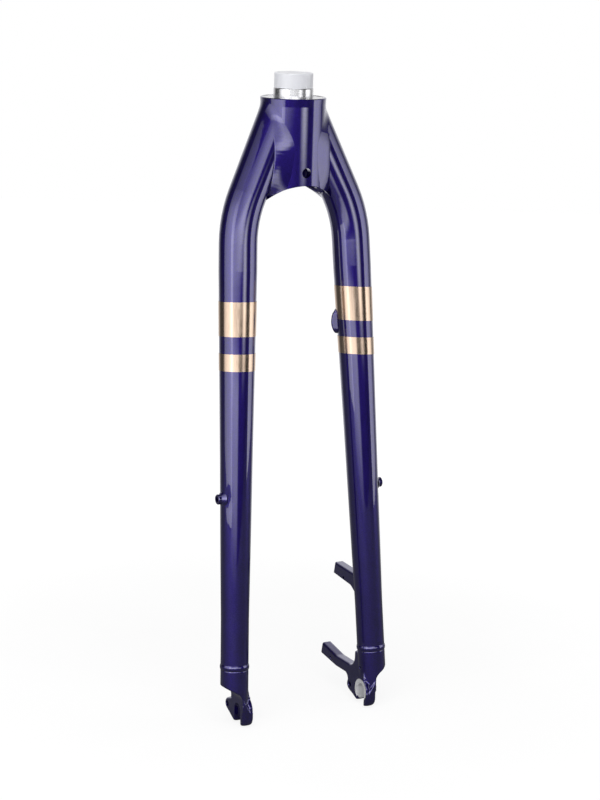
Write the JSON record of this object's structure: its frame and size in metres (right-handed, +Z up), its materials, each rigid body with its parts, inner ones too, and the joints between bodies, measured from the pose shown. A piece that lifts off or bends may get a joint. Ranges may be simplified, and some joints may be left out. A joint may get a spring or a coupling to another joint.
{
  "type": "rigid bicycle fork",
  "caption": "Rigid welded bicycle fork with a short steerer stub, bent tapered legs, disc brake posts, slotted fork ends and painted bands.",
  "frame": {"origin": "on the steerer axis, at the crown's top rim, where the crown race seat starts", "axes": "+Z up along the steerer, -Y to the front of the bicycle, +X to the rider's left, the brake side"},
  "size_m": [0.1422, 0.0794, 0.4923],
  "materials": {
    "purple_paint": "gloss metallic purple",
    "bare_aluminium": "turned, bright",
    "milky_plastic": "milky, smooth",
    "gold_foil": "satin rose gold foil"
  },
  "bodies": {
    "root": {"steerer_tube": "bare_aluminium", "steerer_cap": "milky_plastic", "crown": "purple_paint", "left_leg": "purple_paint", "right_leg": "purple_paint", "left_crown_weld": "purple_paint", "right_crown_weld": "purple_paint", "left_dropout": "purple_paint", "right_dropout": "purple_paint", "left_dropout_weld": "purple_paint", "right_dropout_weld": "purple_paint", "upper_brake_mount": "purple_paint", "left_rack_boss": "purple_paint", "right_rack_boss": "purple_paint", "hose_port": "purple_paint", "left_wide_band": "gold_foil", "left_narrow_band": "gold_foil", "right_wide_band": "gold_foil", "right_narrow_band": "gold_foil"}
  },
  "joints": []
}
